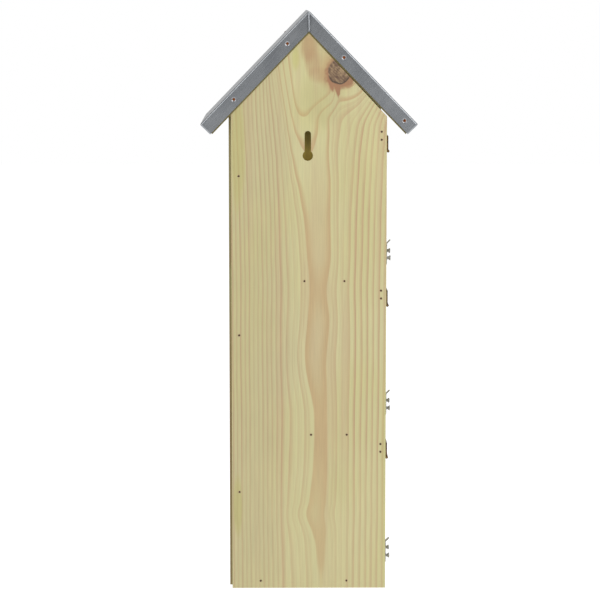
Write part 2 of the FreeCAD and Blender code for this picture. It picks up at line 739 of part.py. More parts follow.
pieces += [
    roof_nails,
    cut("roof_sheet", sheet_outside, [sheet_inside, roof_nails]),
    cut("roof_board_panel_side", roof_board("roof_board_panel_side", ""), [roof_nails]),
    cut("roof_board_flap_side", roof_board("roof_board_flap_side", "-"), [roof_nails]),
]

# Every object has to be sound before anything is written
doc.recompute()
for item in doc.Objects:
    if "Invalid" in item.State or "Error" in item.State:
        raise ValueError(f"{item.Label} failed")
for piece in pieces:
    if piece.Shape.isNull() or not piece.Shape.isValid():
        raise ValueError(f"{piece.Label} is not a sound solid")

os.makedirs("parts", exist_ok=True)
for piece in pieces:
    piece.Shape.exportStep(f"parts/{piece.Label}.step")
print(len(pieces), "pieces")
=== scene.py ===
# %% [markdown]
# # A three-storey nest box, dressed from its frame
# The frame holds every board, nail, hinge and hook at its real place and size. This lesson leaves those
# shapes where they are, gives each one a finish, and adds the small things that a sheet-metal worker and a
# joiner leave behind: a seam bead at the ridge, crowned nails, cross-slotted screws and rolled hinge rims.
# The back board faces +Y, the entrances face -Y, and the flaps are on the -X side.

# %% Load the frame
import json
import math

import bmesh
import bpy
import numpy as np
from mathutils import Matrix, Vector


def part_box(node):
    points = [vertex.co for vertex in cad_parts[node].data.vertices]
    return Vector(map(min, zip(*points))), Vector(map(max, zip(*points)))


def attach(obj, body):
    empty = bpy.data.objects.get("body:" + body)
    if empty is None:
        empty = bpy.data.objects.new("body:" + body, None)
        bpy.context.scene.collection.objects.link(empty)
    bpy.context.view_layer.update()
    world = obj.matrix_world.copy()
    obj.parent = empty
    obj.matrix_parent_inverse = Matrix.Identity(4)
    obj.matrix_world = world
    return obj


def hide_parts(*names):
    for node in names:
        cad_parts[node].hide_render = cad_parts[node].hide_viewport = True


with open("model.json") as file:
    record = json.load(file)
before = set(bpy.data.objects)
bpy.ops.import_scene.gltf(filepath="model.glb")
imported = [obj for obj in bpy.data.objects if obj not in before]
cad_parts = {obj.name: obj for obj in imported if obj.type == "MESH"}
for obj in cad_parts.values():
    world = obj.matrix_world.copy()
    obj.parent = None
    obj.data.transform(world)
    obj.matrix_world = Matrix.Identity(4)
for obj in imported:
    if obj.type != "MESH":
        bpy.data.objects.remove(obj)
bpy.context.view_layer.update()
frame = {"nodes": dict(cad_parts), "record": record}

NODES = frame["nodes"]
RECORD = frame["record"]
STOREYS = ("lower", "middle", "upper")
MM = 0.001

# %% [markdown]
# ## Camera
# The box is seen from behind through a long lens, about two and a half metres away and a little above.
# A camera can be aimed with a constraint, but a constraint stays live, so here the aim is worked out once as
# a rotation: the camera's -Z axis points at the target and its Y axis stays up.

# %% Camera
CAMERA_PLACE = Vector((0.036, 2.537, 0.607))
CAMERA_TARGET = Vector((0.009, 0.0933, 0.2969))
LENS = 146.6
SENSOR = 36.0
CLIP_END = 50.0


def aimed(place, target):
    """Turn that points an object's -Z axis from a place to a target, with its Y axis up."""
    return (Vector(target) - Vector(place)).to_track_quat("-Z", "Y").to_euler()


camera_data = bpy.data.cameras.new("camera")
camera_data.lens = LENS
camera_data.sensor_width = SENSOR
camera_data.clip_end = CLIP_END
camera = bpy.data.objects.new("camera", camera_data)
camera.location = CAMERA_PLACE
camera.rotation_euler = aimed(CAMERA_PLACE, CAMERA_TARGET)
bpy.context.scene.collection.objects.link(camera)
bpy.context.scene.camera = camera
bpy.context.scene.view_settings.view_transform = "Standard"
print("camera", [round(v, 3) for v in camera.location], "lens", LENS)

# %% [markdown]
# ## Shader arithmetic
# A finish is a formula on places: distances, waves and noises added and multiplied. Written node by node that
# is hard to read, so one small class wraps a socket and turns Python's own operators into Math nodes.


# %% Sockets with operators
class Wire:
    """A socket of a finish. Arithmetic on it adds Math nodes; node() adds any other node."""

    def __init__(self, tree, socket=None):
        self.tree = tree
        self.socket = socket

    def node(self, kind, settings=None, inputs=None, output=0):
        """Add a node of a kind, set it up, then give its sockets values or wires."""
        made = self.tree.nodes.new(kind)
        for key, setting in (settings or {}).items():
            if key == "stops":
                made.color_ramp.interpolation = "CARDINAL"
                elements = made.color_ramp.elements
                while len(elements) < len(setting):
                    elements.new(1.0)
                for element, (place, colour) in zip(elements, setting):
                    element.position = place
                    element.color = (*colour, 1.0)
            else:
                setattr(made, key, setting)
        for key, given in (inputs or {}).items():
            if isinstance(given, Wire):
                self.tree.links.new(given.socket, made.inputs[key])
            else:
                made.inputs[key].default_value = given
        return Wire(self.tree, made.outputs[output])

    def math(self, operation, *values):
        """A Math node on this wire and up to two other values."""
        return self.node("ShaderNodeMath", {"operation": operation}, dict(enumerate((self, *values))))

    def __add__(self, other):
        return self.math("ADD", other)

    __radd__ = __add__

    def __sub__(self, other):
        return self.math("SUBTRACT", other)

    def __rsub__(self, other):
        return -self + other

    def __mul__(self, other):
        return self.math("MULTIPLY", other)

    __rmul__ = __mul__

    def __truediv__(self, other):
        return self.math("DIVIDE", other)

    def __rtruediv__(self, other):
        return self ** -1.0 * other

    def __pow__(self, other):
        return self.math("POWER", other)

    def __neg__(self):
        return self.math("MULTIPLY", -1.0)

    def __abs__(self):
        return self.math("ABSOLUTE")

    def rise(self, low, high):
        """0 below low, 1 above high, with a smooth step between."""
        return self.node(
            "ShaderNodeMapRange", {"interpolation_type": "SMOOTHSTEP"},
            {"Value": self, "From Min": low, "From Max": high},
        )

    def fall(self, low, high):
        """1 below low, 0 above high, with a smooth step between."""
        return 1 - self.rise(low, high)

    def split(self):
        """The three parts of a vector or colour."""
        return [self.node("ShaderNodeSeparateXYZ", None, {0: self}, axis) for axis in "XYZ"]


# %% A finish and its places
class Finish:
    """A material with one Principled shader, and its places in millimetres as wires."""

    def __init__(self, name, **constants):
        self.material = bpy.data.materials.new(name)
        self.material.use_nodes = True
        self.tree = self.material.node_tree
        self.shader = self.tree.nodes["Principled BSDF"]
        for key, given in constants.items():
            self.shader.inputs[key.replace("_", " ")].default_value = given
        metres = Wire(self.tree).node("ShaderNodeTexCoord", output="Object")
        self.place = metres.node(
            "ShaderNodeVectorMath", {"operation": "SCALE"}, {0: metres, "Scale": 1 / MM}
        )
        self.x, self.y, self.z = self.place.split()

    def at(self, x, y, z):
        """A vector from three wires or numbers."""
        return self.x.node("ShaderNodeCombineXYZ", None, {0: x, 1: y, 2: z})

    def noise(self, place, scale=1.0, detail=2.0, rough=0.5):
        """Soft noise about 0, from -0.5 to 0.5."""
        return self.x.node(
            "ShaderNodeTexNoise", None,
            {"Vector": place, "Scale": scale, "Detail": detail, "Roughness": rough},
        ) - 0.5

    def nearest(self, places):
        """Distance to the nearest of some places."""
        near = None
        for place in places:
            gap = self.x.node(
                "ShaderNodeVectorMath", {"operation": "DISTANCE"}, {0: self.place, 1: place}, "Value"
            )
            near = gap if near is None else near.math("MINIMUM", gap)
        return near

    def mix(self, share, first, second):
        """A colour between two others."""
        colours = [c if isinstance(c, Wire) else (*c, 1.0) for c in (first, second)]
        return self.x.node(
            "ShaderNodeMix", {"data_type": "RGBA"}, {0: share, 6: colours[0], 7: colours[1]}, output=2
        )

    def tint(self, colour, amount):
        """A colour times a number."""
        return self.x.node("ShaderNodeVectorMath", {"operation": "SCALE"}, {0: colour, "Scale": amount})

    def paint(self, colour, roughness, height, bump, metallic=None):
        """Feed the shader: colour, roughness, and a height in millimetres for the bump."""
        normal = self.x.node("ShaderNodeBump", None, {"Strength": bump, "Distance": MM, "Height": height})
        feeds = {"Base Color": colour, "Roughness": roughness, "Normal": normal}
        if metallic is not None:
            feeds["Metallic"] = metallic
        for key, wire in feeds.items():
            self.tree.links.new(wire.socket, self.shader.inputs[key])
        print("finish", self.material.name, len(self.tree.nodes), "nodes")
        return self.material


def srgb(red, green, blue):
    """A colour as seen on screen, 0 to 255, made linear by the sRGB curve."""
    shares = np.array([red, green, blue]) / 255.0
    return tuple(np.where(shares <= 0.04045, shares / 12.92, ((shares + 0.055) / 1.055) ** 2.4))


# %% [markdown]
# ## Pine
# The boards are flat-sawn pine, pressure-treated to a pale green. A picture of grain could be painted on, but
# it would not run round the edges. Here the wood is solid: each board is cut from a trunk whose growth rings
# lie round a pith line, so a ring is a distance from that line. Where the pith comes close behind the face
# the rings open into pointed arches, and where it sinks the last ring of the heart shows as a warm streak, as
# on the real back board. The rings near the middle of a tree are wide and those outside them are narrow.
# In the formulas u runs across a board, v inwards from its face and w along it, all in millimetres.

# %% Pith
RAMP_SPAN = 100.0


def pith_line(w, stops):
    """Across and depth of the pith at a distance along the board, drawn smoothly through its stops.

    A ramp holds numbers from 0 to 1, so both are divided by a span, and across is moved up by half of it.
    """
    first = stops[0][0]
    length = stops[-1][0] - first
    ramp = []
    for along, across, depth in stops:
        held = ((across + RAMP_SPAN / 2) / RAMP_SPAN, depth / RAMP_SPAN, 0.0)
        ramp.append(((along - first) / length, held))
    across, depth, _ = w.node("ShaderNodeValToRGB", {"stops": ramp}, {0: (w - first) / length}).split()
    return across * RAMP_SPAN - RAMP_SPAN / 2, depth * RAMP_SPAN


# %% Fibres round a knot
KNOT_REACH = 1.15
KNOT_PUSH = 0.92
ALONG_SQUEEZE = 0.62
SWEEP_LEFT = 0.8
SWEEP_WIDTH = 30.0
SWEEP_RUN = (-58.0, -4.0)
DRAW_STARTS = (-3.7, -0.7)
DRAW_ENDS = (-0.8, 0.1)
DRAW_BELOW = (-4.25, -1.3)


def push_aside(u, w, knots):
    """Fibres pass a knot as a stream passes a post: u times (1 - R squared / distance squared).

    On its right they are also swept outwards, more and more as they come up to the knot's height, and on its
    left they are drawn in under it. The sweep is measured in millimetres and the draw in knot radii.
    """
    aside = u
    for place_u, place_w, radius, sweep, draw in knots:
        from_u = u - place_u
        from_w = w - place_w
        squeezed = from_w * ALONG_SQUEEZE
        reach = (KNOT_REACH * radius) ** 2
        spread = (from_u * from_u + squeezed * squeezed).math("MAXIMUM", reach)
        beside = (from_u + SWEEP_LEFT * radius).rise(0.0, SWEEP_WIDTH) * from_w.rise(*SWEEP_RUN)
        left = from_u / radius
        under = left.rise(*DRAW_STARTS) * left.fall(*DRAW_ENDS) * (from_w / radius).rise(*DRAW_BELOW)
        aside = aside - from_u * (KNOT_PUSH * reach) / spread - beside * sweep - under * draw
    return aside


# %% Ring count
HEART_RADIUS = 26.0
HEART_RINGS = 3
HEART_RING = HEART_RADIUS / HEART_RINGS
OUTER_RING = 4.05
WIDE_SIDE = 0.24
SIDE_BLEND = 12.0
PITH_PULL = (14.0, 36.0)
FLARE_PULL = (18.0, 56.0)
WAVER_START = 16.0
SWAY = 2.6
RIPPLE = 0.8
UNEVEN = 2.6
TINY = 0.001


def ring_count(wood, u, v, w, pith, seed, knots, flare):
    """How many rings lie between the pith and a place: distance from the pith over the rings' width.

    Outside the heart the rings are wider on one side, as in a tree that leans, and waver by three noises that
    are long along the board. Above the flare's start the trunk swells, because branches leave it there, and
    the rings open towards both sides.
    """
    across, depth = pith_line(w, pith)
    mean = sum(stop[1] for stop in pith) / len(pith)
    aside = push_aside(u, w, knots) - mean
    offset = aside - (across - mean) * abs(aside).fall(*PITH_PULL)
    if flare:
        start, growth = flare
        swell = (w - start).math("MAXIMUM", 0.0) ** 2.0 / growth * abs(offset).fall(*FLARE_PULL)
        offset = offset * abs(offset) / (abs(offset) + swell + TINY)
    behind = depth + v
    radius = (offset * offset + behind * behind).math("SQRT")
    outer = (radius - HEART_RADIUS).math("MAXIMUM", 0.0)
    outer = outer * (1 - offset.rise(-SIDE_BLEND, SIDE_BLEND) * WIDE_SIDE)
    sway = wood.noise(wood.at(u * 0.02, v * 0.02 + seed, w * 0.0035), 1.0, 3.0) * SWAY
    ripple = wood.noise(wood.at(u * 0.11, seed, w * 0.012)) * RIPPLE
    uneven = wood.noise(wood.at(radius * 0.09, seed, 0.5)) * UNEVEN
    outer = outer + (sway + ripple + uneven) * outer.rise(0.0, WAVER_START)
    return radius.math("MINIMUM", HEART_RADIUS) / HEART_RING + outer / OUTER_RING


print("rings", round(HEART_RING, 2), "mm wide in the heart and about", OUTER_RING, "mm outside it")

# %% [markdown]
# ## Knots
# A knot is the foot of a branch, cut across. It is darker and harder than the board, cracked along part of
# its rim where it has dried loose, and the resin round it reddens the fibres in ragged tongues. It could be a
# plug of its own set into the board, but here it is colour alone: a distance from the knot's middle, made
# ragged by noise, so that it goes through the board and shows on both faces.

# %% Knot finish
KNOT_WOOD = srgb(102, 78, 62)
KNOT_PALE = srgb(170, 144, 108)
KNOT_DARK = srgb(56, 48, 42)
KNOT_RESIN = srgb(158, 115, 84)
KNOT_GLOW = srgb(184, 152, 106)
KNOT_TALL = 1.1
TONGUE_REACH = 1.6
TONGUES = [
    (-1.6, 0.0), (-1.25, 0.34), (-1.0, 0.1), (-0.62, 0.5), (-0.4, 0.2),
    (-0.08, 1.0), (0.14, 0.3), (0.6, 0.16), (1.1, 0.4), (1.6, 0.0),
]


def tongue_length(from_u, jag):
    """How far the resin reaches below the knot, by the place across it: a ramp drawn through TONGUES.

    Times one turns the ramp's grey colour into a number.
    """
    stops = [((place + TONGUE_REACH) / (2 * TONGUE_REACH), (length,) * 3) for place, length in TONGUES]
    share = (from_u + TONGUE_REACH + jag * 0.25) / (2 * TONGUE_REACH)
    return from_u.node("ShaderNodeValToRGB", {"stops": stops}, {0: share}) * 1.0


def paint_knot(wood, colour, u, v, w, knot, seed):
    """Lay a knot over the wood's colour: glow, resin tongues, the knot's own wood, and a crack below.

    Its own wood has slanting streaks, faint circles and a pale patch. All places are in knot radii.
    """
    place_u, place_w, radius, *_ = knot
    from_u = (u - place_u) / radius
    from_w = (w - place_w) / (KNOT_TALL * radius)
    jag = wood.noise(wood.at(u * 0.2, v * 0.2 + seed, w * 0.2), 1.0, 3.0)
    far = (from_u * from_u + from_w * from_w).math("SQRT")
    edge = far + jag * 0.2
    safe = far.math("MAXIMUM", 0.05)
    below = (-from_w / safe).rise(-0.3, 0.9)
    glow = far.fall(0.9, 2.2) * (0.35 + 0.65 * (-from_u / safe).rise(-0.4, 0.9))
    colour = wood.mix(glow * 0.8, colour, KNOT_GLOW)
    resin = (far - below * (0.2 + tongue_length(from_u, jag) * 0.75) + jag * 0.5).fall(0.9, 1.3)
    colour = wood.mix(resin * 0.95, colour, KNOT_RESIN)
    streak = wood.noise(wood.at((u + w) * 0.34, v, (u - w) * 0.09 + seed), 1.0, 3.0, 0.65)
    circle = ((far + jag * 0.35) * 21.0).math("SINE") * 0.1
    patch = ((from_u - 0.3) ** 2.0 + (from_w - 0.12) ** 2.0 + jag * 0.1).fall(0.02, 0.12)
    grain = wood.mix((0.36 + streak * 2.2 + circle + patch * 0.5).rise(0.0, 1.0), KNOT_WOOD, KNOT_PALE)
    colour = wood.mix(edge.fall(0.93, 1.03), colour, grain)
    crack = edge.rise(0.86, 0.95) * edge.fall(0.97, 1.08) * (-from_w + jag * 1.2).rise(0.25, 0.6)
    return wood.mix(crack * 0.85, colour, KNOT_DARK)


print("knot finish with", len(TONGUES) - 2, "turns in its resin's edge")

# %% [markdown]
# ## The board's own colour, and painted shade
# Each ring starts pale and darkens towards its outer edge, then ends sharply. The treatment leaves a green
# cast in patches. Nails bruise the wood round them. Cut ends and hollows are painted a darker olive as shade,
# where little light reaches. A mask could be painted for each of these, but a distance from a nail or a face
# says the same and holds on every side of the board.

# %% Ring lines
BETWEEN_SHARE = 0.42
NEAR_KNOT = (1.6, 4.0)


def ring_edge(inside, start, dark, end):
    """A rise from start to dark, and a sharp fall from end to the ring's outer edge at 1."""
    return inside.rise(start, dark) * inside.fall(end, 1.0)


def ring_lines(count, u, w, knots):
    """The dark edge of the heart's rings, and the thin lines outside the heart, from 0 to 1.

    The first rings outside the heart have one more line between them, and near a knot there are three thin
    lines to a ring.
    """
    inside = count.math("FRACT")
    half = (count * 2.0).math("FRACT")
    third = (count * 3.0).math("FRACT")
    heart = count.fall(HEART_RINGS - 0.015, HEART_RINGS)
    outside = 1 - heart
    core = ring_edge(inside, 0.6, 0.92, 0.95) * heart
    line = ring_edge(inside, 0.36, 0.92, 0.94) * outside * (0.6 + 0.4 * count.rise(HEART_RINGS, 8.0))
    between = ring_edge(half, 0.3, 0.9, 0.92) * outside * count.fall(4.5, 6.0)
    line = line.math("MAXIMUM", between * BETWEEN_SHARE)
    for place_u, place_w, radius, *_ in knots:
        far = ((u - place_u) ** 2.0 + (w - place_w) ** 2.0).math("SQRT") / radius
        near = far.fall(*NEAR_KNOT)
        fine = ring_edge(third, 0.4, 0.9, 0.92) * outside * near
        line = line * (1 - near * 0.4) + fine * 0.45
    return core, line


# %% Pine finish
EARLY_WOOD = srgb(204, 197, 151)
GREEN_SALT = srgb(196, 190, 136)
BAND_WOOD = srgb(193, 168, 133)
LINE_WOOD = srgb(182, 146, 112)
HEART_WOOD = srgb(190, 164, 121)
# painted shade: a dark olive for recesses and sawn ends where little light reaches, also used as wear round
# the entrances
OLIVE_SHADE_AND_WEAR = srgb(98, 87, 18)
# painted shade: the olive inside the keyhole
KEYHOLE_SHADE_WOOD = srgb(188, 168, 78)
BRUISE = srgb(96, 78, 50)
WOOD_ROUGH = 0.64
WOOD_BUMP = 0.3


def lay_ovals(wood, colour, u, w, stains, ragged):
    """Lay soft ovals over a colour: (across / half width) squared + (along / half height) squared."""
    # some ovals are real stains, others are painted light or painted shade
    for place_u, place_w, half_u, half_w, patch_colour, share in stains:
        patch = ((u - place_u) / half_u) ** 2.0 + ((w - place_w) / half_w) ** 2.0
        colour = wood.mix((patch + ragged).fall(0.1, 1.1) * share, colour, patch_colour)
    return colour


def pine(
    name, across, inward, along, pith, seed,
    knots=(), washes=(), stains=(), nails=(), shade_masks=(), flare=None,
):
    """Colour by the place inside a ring; across, inward and along name the board's axes and their zeros.

    pith lists (along, across, depth behind the face). knots list (across, along, radius, sweep, draw). washes
    under the rings and stains over them list (across, along, half width, half height, colour,
    share); some of these are real stains, some painted light or painted shade. shade_masks pair a function of
    the three axes, which says where painted shade lies, with its colour.
    """
    wood = Finish(name, IOR=1.45)
    axes = {"X": wood.x, "Y": wood.y, "Z": wood.z, "-X": -wood.x, "-Y": -wood.y, "-Z": -wood.z}
    u, v, w = (axes[axis] - zero for axis, zero in (across, inward, along))
    count = ring_count(wood, u, v, w, pith, seed, knots, flare)
    core, line = ring_lines(count, u, w, knots)
    strength = wood.x.node(
        "ShaderNodeTexWhiteNoise", {"noise_dimensions": "1D"}, {"W": count.math("FLOOR") + seed}
    )
    fibre = wood.noise(wood.at(u, v, w * 0.03), 1.0, 3.0, 0.6)
    cloud = wood.noise(wood.at(u * 0.012, v * 0.012, w * 0.006 + seed))
    band = wood.noise(wood.at(u * 0.09, v * 0.09 + seed, w * 0.0025), 1.0, 2.0, 0.6)
    ragged = cloud * 1.5 + fibre * 0.5 + band
    colour = wood.mix((0.45 + cloud * 1.8 + fibre * 0.3).rise(0.1, 0.9), EARLY_WOOD, GREEN_SALT)
    colour = wood.mix(band.rise(-0.02, 0.2) * 0.5, colour, BAND_WOOD)
    colour = lay_ovals(wood, colour, u, w, washes, ragged)
    colour = wood.mix(line * (0.34 + strength * 0.54), colour, LINE_WOOD)
    colour = wood.mix(core * 0.95, colour, HEART_WOOD)
    colour = lay_ovals(wood, colour, u, w, stains, ragged)
    for knot in knots:
        colour = paint_knot(wood, colour, u, v, w, knot, seed)
    height = line * 0.1 + fibre * 0.12
    if nails:
        near = wood.nearest(nails) + fibre * 0.8
        colour = wood.mix(near.fall(1.0, 2.0) * 0.25, colour, BRUISE)
        height = height - near.fall(1.0, 2.2) * 0.2
    # painted shade: each mask darkens its place towards its olive
    for shade_mask, shade in shade_masks:
        colour = wood.mix(shade_mask(u, v, w), colour, shade)
    colour = wood.tint(colour, 0.88 + fibre * 0.28 + cloud * 0.1)
    rough = WOOD_ROUGH + fibre * 0.16 - line * 0.08
    return wood.paint(colour, rough, height, WOOD_BUMP)


# %% [markdown]
# ## Where the nails are
# The finish needs the nails' places. They could be typed in one by one, but their heights follow from the
# pieces they hold, so they are read from the frame's boxes: a rail's nails sit about its middle, a floor's at
# half its thickness.


# %% Nail places
def low_mm(node):
    """Lowest corner of a node, in millimetres."""
    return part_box(node)[0] / MM


def high_mm(node):
    """Highest corner of a node, in millimetres."""
    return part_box(node)[1] / MM


REAR = high_mm("back_board").y
FRONT = low_mm("front_board").y
BOARD = 15.0
STOREY = low_mm("middle_flap").z - low_mm("lower_flap").z
SIDE_NAIL_X = high_mm("side_panel").x - 10.1
SIDE_NAIL_FIRST = 100.0
SIDE_NAIL_STEP = STOREY + 4.0
RAIL_NAIL_X = -72.7
RAIL_NAIL_HALF_GAP = 4.0
FLOOR_NAIL_X = {"bottom_floor": (-38.4, 49.1), "middle_floor": (-38.4, -2.2), "upper_floor": (-35.7, 4.5)}

board_nails = [(SIDE_NAIL_X, SIDE_NAIL_FIRST + step * SIDE_NAIL_STEP) for step in range(len(STOREYS))]
for node, places in FLOOR_NAIL_X.items():
    board_nails += [(x, low_mm(node).z + BOARD / 2) for x in places]
for word in STOREYS:
    middle = (low_mm(word + "_rail").z + high_mm(word + "_rail").z) / 2
    board_nails += [(RAIL_NAIL_X, middle + gap) for gap in (-RAIL_NAIL_HALF_GAP, RAIL_NAIL_HALF_GAP)]
print(len(board_nails), "nails through each of the front and back boards")

# %% [markdown]
# ## Back board
# This is the face that is seen, so its pith line follows the real board's warm streak: open arches at the
# gable, two lines that close in below the keyhole, then one streak that is pinched and bulges on its way down
# to a point. A trunk with a straight pith would be simpler, but its arches would all lie one above the other.
# The keyhole is a hollow, and its walls are painted olive as shade, darker in its narrow slot.

# %% Back board's grain
BACK_PITH = [
    (0.0, 12.6, 25.85), (22.7, 12.5, 25.6), (49.9, 11.6, 25.2), (63.0, 9.6, 24.6), (75.9, 6.7, 24.1),
    (88.0, 8.6, 24.3), (120.0, 11.3, 24.7), (183.4, 11.8, 24.9), (209.0, 9.2, 24.15), (238.0, 7.0, 23.4),
    (275.5, 9.7, 23.3), (307.0, 9.3, 24.3), (337.5, 10.4, 23.0), (386.0, 8.1, 21.9), (417.0, 5.4, 19.7),
    (444.0, 1.4, 17.3), (463.0, -0.6, 13.4), (481.0, -2.4, 8.7), (492.0, -2.4, 4.6), (508.0, -1.8, 1.6),
    (545.0, -1.8, 1.4),
]
BACK_FLARE = (474.0, 150.0)
BACK_KNOT = (30.2, 526.5, 11.4, 18.0, 18.0)
YELLOW_STAIN = srgb(186, 181, 96)
# warm heart colour, darkened as painted shade under the roof
WARM_HEART_AND_SHADE = srgb(177, 145, 106)
DARKER_TONE = srgb(176, 164, 124)
# painted light: a paler wood laid where the board should look more lit
PAINTED_LIGHT_WOOD = srgb(210, 201, 150)
BACK_WASHES = [(8.0, 325.0, 16.0, 135.0, BAND_WOOD, 0.5)]
BACK_STAINS_LIGHT_AND_SHADE = [
    (-71.0, 446.0, 8.0, 68.0, YELLOW_STAIN, 0.52),
    (77.0, 110.0, 4.5, 150.0, YELLOW_STAIN, 0.24),
    # painted light: paler wood at the top right under the lip and along the bottom
    (66.0, 440.0, 16.0, 64.0, PAINTED_LIGHT_WOOD, 0.3),
    (-46.0, 40.0, 46.0, 120.0, PAINTED_LIGHT_WOOD, 0.3),
    (53.0, 40.0, 33.0, 120.0, PAINTED_LIGHT_WOOD, 0.3),
    (12.0, 40.0, 26.0, 110.0, PAINTED_LIGHT_WOOD, 0.2),
    # a duller, darker tone below and left of the knot
    (14.0, 498.0, 24.0, 30.0, DARKER_TONE, 0.34),
    (2.0, 492.0, 24.0, 36.0, YELLOW_STAIN, 0.16),
    (-72.5, 86.0, 5.0, 34.0, YELLOW_STAIN, 0.5),
    # a duller, darker tone over the left side of the board
    (-58.0, 330.0, 48.0, 480.0, DARKER_TONE, 0.34),
    # warm heart colour at the gable, darkened as painted shade under the roof
    (0.0, 552.0, 11.5, 19.0, WARM_HEART_AND_SHADE, 0.8),
    (4.0, 536.0, 9.5, 17.0, WARM_HEART_AND_SHADE, 0.6),
    (9.0, 523.0, 11.0, 10.0, WARM_HEART_AND_SHADE, 0.5),
    (14.0, 536.0, 13.0, 26.0, WARM_HEART_AND_SHADE, 0.3),
    (-13.0, 540.0, 5.0, 15.0, YELLOW_STAIN, 0.4),
]
print("pith through", len(BACK_PITH), "stops,", len(BACK_STAINS_LIGHT_AND_SHADE), "stains")

# %% Back board
KEYHOLE_U = -1.2
KEYHOLE_W = 453.0
KEYHOLE_HALF_WIDTH = 7.0
KEYHOLE_HALF_HEIGHT = 22.0
SLOT_RUN = (445.5, 457.5)
SLOT_SHADE_SHARE = 0.45


def in_keyhole(u, v, w):
    """Deeper than the face, within the keyhole's outline."""
    beside = abs(u - KEYHOLE_U).fall(KEYHOLE_HALF_WIDTH, KEYHOLE_HALF_WIDTH + 1.0)
    return v.rise(0.1, 1.2) * beside * abs(w - KEYHOLE_W).fall(KEYHOLE_HALF_HEIGHT, KEYHOLE_HALF_HEIGHT + 1.0)


def slot_shade(u, v, w):
    """Painted shade in the keyhole's slot, which is narrower and gets less light than its round part."""
    return in_keyhole(u, v, w) * w.rise(*SLOT_RUN) * SLOT_SHADE_SHARE


pine_of_node = {}
pine_of_node["back_board"] = pine(
    "pine_back_board", ("-X", 0.0), ("-Y", -REAR), ("Z", 0.0), BACK_PITH, 0.0,
    knots=[BACK_KNOT], washes=BACK_WASHES, stains=BACK_STAINS_LIGHT_AND_SHADE,
    nails=[(x, REAR, z) for x, z in board_nails],
    shade_masks=[(in_keyhole, KEYHOLE_SHADE_WOOD), (slot_shade, OLIVE_SHADE_AND_WEAR)], flare=BACK_FLARE,
)

# %% [markdown]
# ## Front board and side panel
# The front board has the three entrances. Their walls are cut across the fibres; they are painted a darker
# olive as shade inside the holes, and the olive fades out over their rims, where birds rub them. A ring of
# its own could be set into each hole, but the wood only changes colour there, so walls and rims get the olive
# by their distance from each entrance's middle.

# %% Front board
FRONT_PITH = [
    (0.0, -16.0, 25.6), (140.0, -12.0, 23.8), (290.0, -13.0, 25.0), (420.0, -6.0, 21.0), (545.0, 2.0, 7.0),
]
ENTRANCE_RISE = 90.0
ENTRANCE_HEIGHTS = [high_mm(node).z + ENTRANCE_RISE for node in FLOOR_NAIL_X]
ENTRANCE_RADIUS = 16.0
RIM_FADE = (ENTRANCE_RADIUS - 0.5, ENTRANCE_RADIUS + 3.5)


def entrance_shade_and_wear(u, v, w):
    """Painted shade inside the entrances, and wear just round their rims."""
    rims = None
    for height in ENTRANCE_HEIGHTS:
        rim = (u * u + (w - height) ** 2.0).math("SQRT").fall(*RIM_FADE)
        rims = rim if rims is None else rims.math("MAXIMUM", rim)
    return rims * 0.45


pine_of_node["front_board"] = pine(
    "pine_front_board", ("X", 0.0), ("Y", FRONT), ("Z", 0.0), FRONT_PITH, 11.0,
    knots=[(-42.0, 182.0, 7.0, 0.0, 0.0)],
    stains=[(66.0, 330.0, 8.0, 90.0, YELLOW_STAIN, 0.35)],
    nails=[(x, FRONT, z) for x, z in board_nails], shade_masks=[(entrance_shade_and_wear, OLIVE_SHADE_AND_WEAR)],
)

# %% Side panel
PANEL_PITH = [(0.0, 20.0, 23.0), (160.0, 24.0, 25.0), (330.0, 16.0, 22.0), (490.0, 10.0, 10.0)]
PANEL_MIDDLE = (low_mm("side_panel").y + high_mm("side_panel").y) / 2
PANEL_END = (61.6, 62.2)


def shaded_panel_end(u, v, w):
    """The side panel's end faces, sawn across; painted dark olive as shade where they sit beside the front
    and back boards.
    """
    return abs(u).rise(*PANEL_END) * 0.5


pine_of_node["side_panel"] = pine(
    "pine_side_panel", ("Y", PANEL_MIDDLE), ("-X", -high_mm("side_panel").x), ("Z", 0.0), PANEL_PITH, 23.0,
    knots=[(-24.0, 348.0, 6.0, 4.0, 0.0)],
    stains=[(-40.0, 120.0, 10.0, 80.0, YELLOW_STAIN, 0.3)], shade_masks=[(shaded_panel_end, OLIVE_SHADE_AND_WEAR)],
)

# %% [markdown]
# ## Flaps, rails, floors and roof boards
# These are cut from other boards. One finish for all of them would repeat the same figure, so each gets a
# pith line and a seed of its own. Rails, floors and roof boards run from front to back; the flaps' grain runs
# upwards like the side panel's.

# %% Flaps and rails
INNER_FRONT = -50.0
FLAP_PITHS = (
    [(0.0, -20.0, 25.0), (70.0, -15.0, 22.0), (135.0, -17.0, 14.0)],
    [(0.0, -2.0, 25.0), (70.0, -1.0, 18.0), (135.0, -1.0, 18.0)],
    [(0.0, 16.0, 25.0), (70.0, 13.0, 14.0), (135.0, 15.0, 22.0)],
)
FLAP_SEEDS = (31.0, 38.0, 45.0)
RAIL_PITHS = (
    [(0.0, 4.0, 27.5), (135.0, 9.0, 25.0)],
    [(0.0, 12.0, 27.5), (135.0, 16.0, 25.0)],
    [(0.0, 20.0, 27.5), (135.0, 23.0, 25.0)],
)
RAIL_SEEDS = (61.0, 66.0, 71.0)

for word, pith, seed in zip(STOREYS, FLAP_PITHS, FLAP_SEEDS):
    low = low_mm(word + "_flap")
    pine_of_node[word + "_flap"] = pine(
        f"pine_{word}_flap", ("Y", PANEL_MIDDLE), ("X", low.x), ("Z", low.z), pith, seed
    )
for word, pith, seed in zip(STOREYS, RAIL_PITHS, RAIL_SEEDS):
    low = low_mm(word + "_rail")
    pine_of_node[word + "_rail"] = pine(
        f"pine_{word}_rail", ("Z", low.z), ("X", low.x), ("Y", INNER_FRONT), pith, seed
    )

